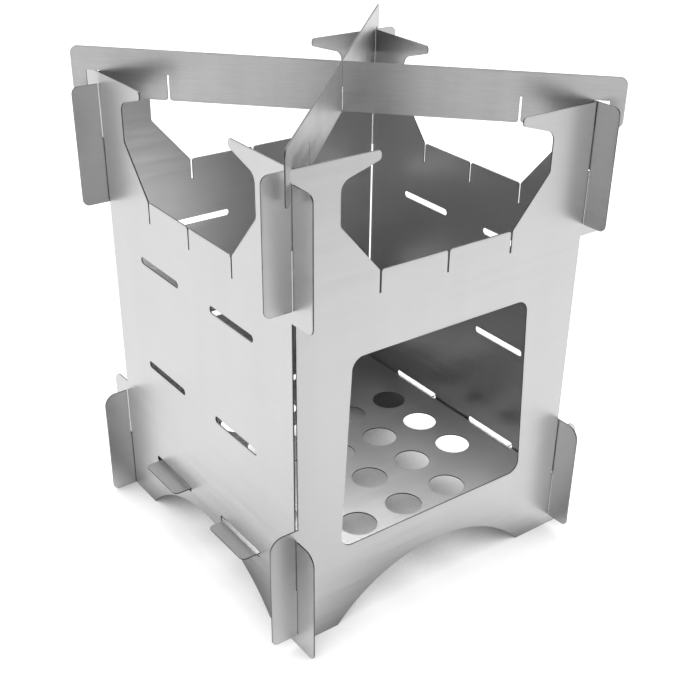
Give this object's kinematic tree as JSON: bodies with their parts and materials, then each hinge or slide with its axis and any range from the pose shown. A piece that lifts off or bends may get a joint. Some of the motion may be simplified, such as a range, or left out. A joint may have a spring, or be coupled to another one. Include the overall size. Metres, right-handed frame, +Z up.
{
  "type": "flat-pack camping wood stove",
  "caption": "Slot-together stainless tent stove: flat walls hooked at the corners, with a fuel window, vents, a hanging perforated grate and crossed pot bars that lift off.",
  "frame": {"origin": "on the ground under the middle of the four walls", "axes": "+Z up, -Y out of the wall with the fuel window, +X to the right of someone who faces that wall"},
  "size_m": [0.1404, 0.1404, 0.1793],
  "materials": {
    "stainless_sheet": "fine brushed stainless sheet with clean laser-cut edges"
  },
  "bodies": {
    "stove": {"front_wall": "stainless_sheet", "left_wall": "stainless_sheet", "back_wall": "stainless_sheet", "right_wall": "stainless_sheet", "grate": "stainless_sheet"},
    "lower_crossbar": {"lower_crossbar": "stainless_sheet"},
    "upper_crossbar": {"upper_crossbar": "stainless_sheet"}
  },
  "joints": [
    {"name": "lower_crossbar_lift", "type": "slide", "parent": "stove", "child": "lower_crossbar", "axis": [0, 0, 1], "range_m": [0, 0.03]},
    {"name": "upper_crossbar_lift", "type": "slide", "parent": "lower_crossbar", "child": "upper_crossbar", "axis": [0, 0, 1], "range_m": [0, 0.03]}
  ]
}
